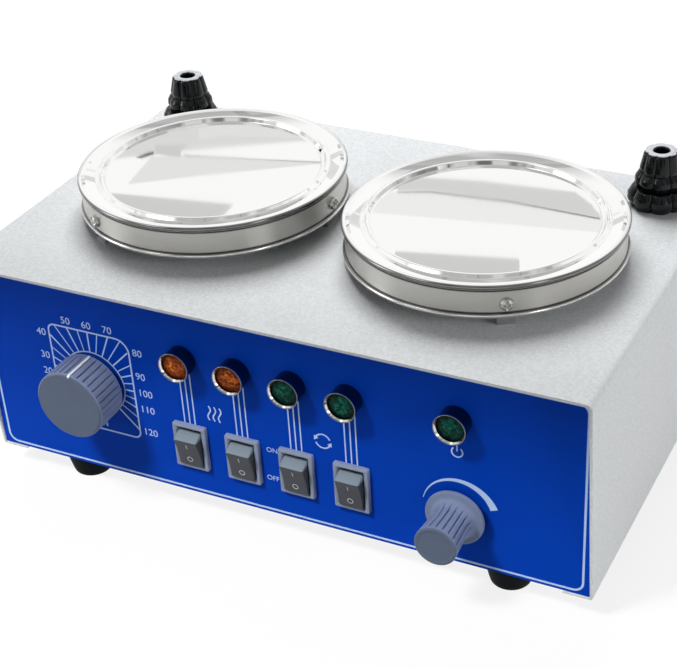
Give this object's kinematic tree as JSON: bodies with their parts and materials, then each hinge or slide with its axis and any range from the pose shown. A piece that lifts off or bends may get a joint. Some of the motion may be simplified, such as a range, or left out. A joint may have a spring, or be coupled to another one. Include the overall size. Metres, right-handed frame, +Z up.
{
  "type": "hotplate stirrer",
  "caption": "Low bench case with a blue control panel, round steel heating plates over magnetic stirring drives, timer and speed knobs, rocker switches, pilot lamps and support-rod clamps.",
  "frame": {"origin": "on the bench under the middle of the case", "axes": "+X to the right along the case's width, +Y to the back, +Z up"},
  "size_m": [0.268, 0.1944, 0.1277],
  "materials": {
    "cover_paint": "fine textured powder coat",
    "zinc_sheet": "zinc-plated sheet",
    "panel_blue": "satin printed panel",
    "black_rubber": "matt",
    "screw_steel": "plated",
    "plate_steel": "polished stainless steel",
    "mica": "pressed mica",
    "fibre": "pressed fibre",
    "motor_paint": "satin",
    "spacer_brass": "turned",
    "knob_plastic": "moulded",
    "switch_plastic": "moulded",
    "rocker_plastic": "moulded",
    "lamp_chrome": "polished",
    "lens_orange": "clear moulding",
    "lens_green": "clear moulding",
    "black_plastic": "moulded",
    "nylon": "moulded",
    "core_steel": "varnished",
    "board_green": "varnished laminate",
    "magnet": "ground",
    "shaft_steel": "ground",
    "fuse_glass": "clear"
  },
  "bodies": {
    "case": {"top_cover": "cover_paint", "chassis": "cover_paint", "front_panel": "panel_blue", "rubber_feet": "black_rubber", "foot_screws": "screw_steel", "bottom_screws": "screw_steel", "heating_plate_left": "plate_steel", "heating_plate_right": "plate_steel", "plate_brackets": "zinc_sheet", "plate_screws": "screw_steel", "mica_heater_left": "mica", "mica_heater_right": "mica", "insulation_pads": "fibre", "heater_clamp_discs": "zinc_sheet", "heater_nuts": "screw_steel", "stir_motor_left": "motor_paint", "stir_motor_right": "motor_paint", "motor_plates": "zinc_sheet", "motor_spacers": "spacer_brass", "spacer_screws": "screw_steel", "motor_screws": "screw_steel", "timer_body": "nylon", "timer_screws": "screw_steel", "speed_control": "motor_paint", "speed_control_nut": "screw_steel", "switch_heat_left": "switch_plastic", "switch_heat_right": "switch_plastic", "switch_stir_left": "switch_plastic", "switch_stir_right": "switch_plastic", "lamp_bezels": "lamp_chrome", "orange_lenses": "lens_orange", "green_lenses": "lens_green", "lamp_nuts": "screw_steel", "rod_clamp_left": "black_plastic", "rod_clamp_right": "black_plastic", "rod_clamp_lock_nuts": "screw_steel", "fuse_holder": "black_plastic", "cord_gland": "black_rubber", "transformer": "core_steel", "control_board": "board_green", "board_posts": "nylon", "terminal_block": "nylon"},
    "timer_dial": {"timer_shaft": "shaft_steel", "timer_knob": "knob_plastic"},
    "speed_dial": {"speed_shaft": "shaft_steel", "speed_knob": "knob_plastic"},
    "key_heat_left": {"rocker_heat_left": "rocker_plastic"},
    "key_heat_right": {"rocker_heat_right": "rocker_plastic"},
    "key_stir_left": {"rocker_stir_left": "rocker_plastic"},
    "key_stir_right": {"rocker_stir_right": "rocker_plastic"},
    "stirrer_left": {"motor_shaft_left": "shaft_steel", "magnet_carrier_left": "motor_paint", "magnets_left": "magnet"},
    "stirrer_right": {"motor_shaft_right": "shaft_steel", "magnet_carrier_right": "motor_paint", "magnets_right": "magnet"},
    "clamp_nut_left": {"rod_clamp_nut_left": "black_plastic"},
    "clamp_nut_right": {"rod_clamp_nut_right": "black_plastic"},
    "fuse_carrier": {"fuse_cap": "black_plastic", "fuse": "fuse_glass"}
  },
  "joints": [
    {"name": "timer_turn", "type": "hinge", "parent": "case", "child": "timer_dial", "pos_m": [-0.08, -0.0855, 0.055], "axis": [0, 1, 0], "range_deg": [-143, 127]},
    {"name": "speed_turn", "type": "hinge", "parent": "case", "child": "speed_dial", "pos_m": [0.08, -0.0855, 0.0356], "axis": [0, 1, 0], "range_deg": [0, 300]},
    {"name": "key_heat_left_rock", "type": "hinge", "parent": "case", "child": "key_heat_left", "pos_m": [-0.036, -0.0729, 0.0355], "axis": [-1, 0, 0], "range_deg": [0, 26]},
    {"name": "key_heat_right_rock", "type": "hinge", "parent": "case", "child": "key_heat_right", "pos_m": [-0.012, -0.0729, 0.0355], "axis": [-1, 0, 0], "range_deg": [0, 26]},
    {"name": "key_stir_left_rock", "type": "hinge", "parent": "case", "child": "key_stir_left", "pos_m": [0.012, -0.0729, 0.0355], "axis": [-1, 0, 0], "range_deg": [0, 26]},
    {"name": "key_stir_right_rock", "type": "hinge", "parent": "case", "child": "key_stir_right", "pos_m": [0.036, -0.0729, 0.0355], "axis": [-1, 0, 0], "range_deg": [0, 26]},
    {"name": "stir_left_spin", "type": "hinge", "parent": "case", "child": "stirrer_left", "pos_m": [-0.06085, 0, 0.095], "axis": [0, 0, 1], "continuous": true},
    {"name": "stir_right_spin", "type": "hinge", "parent": "case", "child": "stirrer_right", "pos_m": [0.06085, 0, 0.095], "axis": [0, 0, 1], "continuous": true},
    {"name": "clamp_left_turn", "type": "hinge", "parent": "case", "child": "clamp_nut_left", "pos_m": [-0.111, 0.0645, 0.12], "axis": [0, 0, 1], "range_deg": [0, 360]},
    {"name": "clamp_right_turn", "type": "hinge", "parent": "case", "child": "clamp_nut_right", "pos_m": [0.111, 0.0645, 0.12], "axis": [0, 0, 1], "range_deg": [0, 360]},
    {"name": "fuse_cap_turn", "type": "hinge", "parent": "case", "child": "fuse_carrier", "pos_m": [0.095, 0.0875, 0.062], "axis": [0, 1, 0], "range_deg": [0, 90]}
  ]
}
